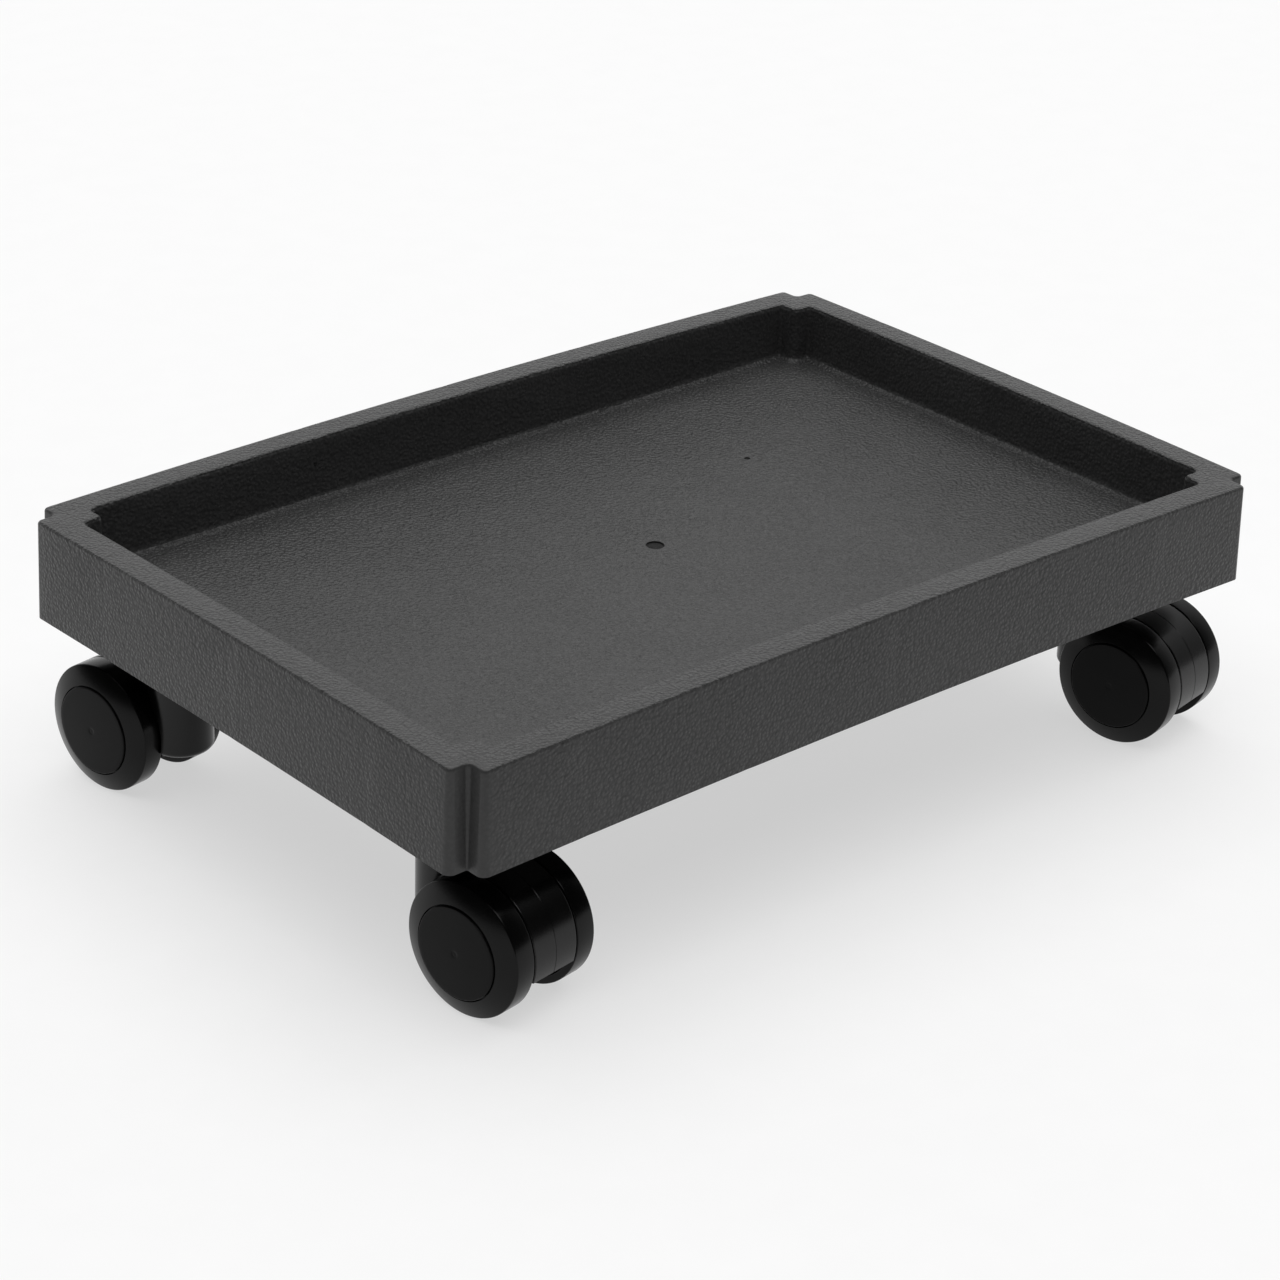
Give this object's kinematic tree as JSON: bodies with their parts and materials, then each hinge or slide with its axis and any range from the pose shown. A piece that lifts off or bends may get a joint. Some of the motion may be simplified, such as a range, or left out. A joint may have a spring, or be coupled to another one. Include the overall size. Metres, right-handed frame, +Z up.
{
  "type": "furniture dolly",
  "caption": "Low rectangular plastic tray dolly with a shallow well inside a raised rim, on twin-wheel swivel casters under its corners.",
  "frame": {"origin": "on the ground, under the centre of the tray", "axes": "+Z up, +X along the tray's long side, +Y along its short side towards the back casters"},
  "size_m": [0.392, 0.2633, 0.108],
  "materials": {
    "tray_plastic": "dark grey moulded polypropylene with a fine leather grain",
    "caster_plastic": "satin black moulded nylon",
    "wheel_plastic": "satin black moulded nylon",
    "cap_plastic": "satin black, a little more matte than the wheel",
    "steel": "zinc plated"
  },
  "bodies": {
    "deck": {"tray": "tray_plastic", "front_left_stem": "steel", "front_left_stem_ring": "steel", "front_right_stem": "steel", "front_right_stem_ring": "steel", "back_left_stem": "steel", "back_left_stem_ring": "steel", "back_right_stem": "steel", "back_right_stem_ring": "steel"},
    "front_left_swivel": {"front_left_housing": "caster_plastic", "front_left_axle": "steel", "front_left_axle_clips": "steel"},
    "front_right_swivel": {"front_right_housing": "caster_plastic", "front_right_axle": "steel", "front_right_axle_clips": "steel"},
    "back_left_swivel": {"back_left_housing": "caster_plastic", "back_left_axle": "steel", "back_left_axle_clips": "steel"},
    "back_right_swivel": {"back_right_housing": "caster_plastic", "back_right_axle": "steel", "back_right_axle_clips": "steel"},
    "front_left_wheel_left_body": {"front_left_wheel_left": "wheel_plastic", "front_left_cap_left": "cap_plastic"},
    "front_left_wheel_right_body": {"front_left_wheel_right": "wheel_plastic", "front_left_cap_right": "cap_plastic"},
    "front_right_wheel_left_body": {"front_right_wheel_left": "wheel_plastic", "front_right_cap_left": "cap_plastic"},
    "front_right_wheel_right_body": {"front_right_wheel_right": "wheel_plastic", "front_right_cap_right": "cap_plastic"},
    "back_left_wheel_right_body": {"back_left_wheel_right": "wheel_plastic", "back_left_cap_right": "cap_plastic"},
    "back_left_wheel_left_body": {"back_left_wheel_left": "wheel_plastic", "back_left_cap_left": "cap_plastic"},
    "back_right_wheel_right_body": {"back_right_wheel_right": "wheel_plastic", "back_right_cap_right": "cap_plastic"},
    "back_right_wheel_left_body": {"back_right_wheel_left": "wheel_plastic", "back_right_cap_left": "cap_plastic"}
  },
  "joints": [
    {"name": "front_left_swivel_turn", "type": "hinge", "parent": "deck", "child": "front_left_swivel", "pos_m": [-0.1613, -0.0809, 0.045], "axis": [0, 0, 1], "continuous": true},
    {"name": "front_right_swivel_turn", "type": "hinge", "parent": "deck", "child": "front_right_swivel", "pos_m": [0.1613, -0.0809, 0.045], "axis": [0, 0, 1], "continuous": true},
    {"name": "back_left_swivel_turn", "type": "hinge", "parent": "deck", "child": "back_left_swivel", "pos_m": [-0.1613, 0.0809, 0.045], "axis": [0, 0, 1], "continuous": true},
    {"name": "back_right_swivel_turn", "type": "hinge", "parent": "deck", "child": "back_right_swivel", "pos_m": [0.1613, 0.0809, 0.045], "axis": [0, 0, 1], "continuous": true},
    {"name": "front_left_wheel_left_spin", "type": "hinge", "parent": "front_left_swivel", "child": "front_left_wheel_left_body", "pos_m": [-0.15789, -0.10375, 0.025], "axis": [0.989, 0.1478, 0], "continuous": true},
    {"name": "front_left_wheel_right_spin", "type": "hinge", "parent": "front_left_swivel", "child": "front_left_wheel_right_body", "pos_m": [-0.15789, -0.10375, 0.025], "axis": [0.989, 0.1478, 0], "continuous": true},
    {"name": "front_right_wheel_left_spin", "type": "hinge", "parent": "front_right_swivel", "child": "front_right_wheel_left_body", "pos_m": [0.16571, -0.10358, 0.025], "axis": [0.9816, 0.1908, 0], "continuous": true},
    {"name": "front_right_wheel_right_spin", "type": "hinge", "parent": "front_right_swivel", "child": "front_right_wheel_right_body", "pos_m": [0.16571, -0.10358, 0.025], "axis": [0.9816, 0.1908, 0], "continuous": true},
    {"name": "back_left_wheel_right_spin", "type": "hinge", "parent": "back_left_swivel", "child": "back_left_wheel_right_body", "pos_m": [-0.16479, 0.10373, 0.025], "axis": [-0.9885, -0.1513, 0], "continuous": true},
    {"name": "back_left_wheel_left_spin", "type": "hinge", "parent": "back_left_swivel", "child": "back_left_wheel_left_body", "pos_m": [-0.16479, 0.10373, 0.025], "axis": [-0.9885, -0.1513, 0], "continuous": true},
    {"name": "back_right_wheel_right_spin", "type": "hinge", "parent": "back_right_swivel", "child": "back_right_wheel_right_body", "pos_m": [0.1567, 0.10354, 0.025], "axis": [-0.9799, -0.1994, 0], "continuous": true},
    {"name": "back_right_wheel_left_spin", "type": "hinge", "parent": "back_right_swivel", "child": "back_right_wheel_left_body", "pos_m": [0.1567, 0.10354, 0.025], "axis": [-0.9799, -0.1994, 0], "continuous": true}
  ]
}
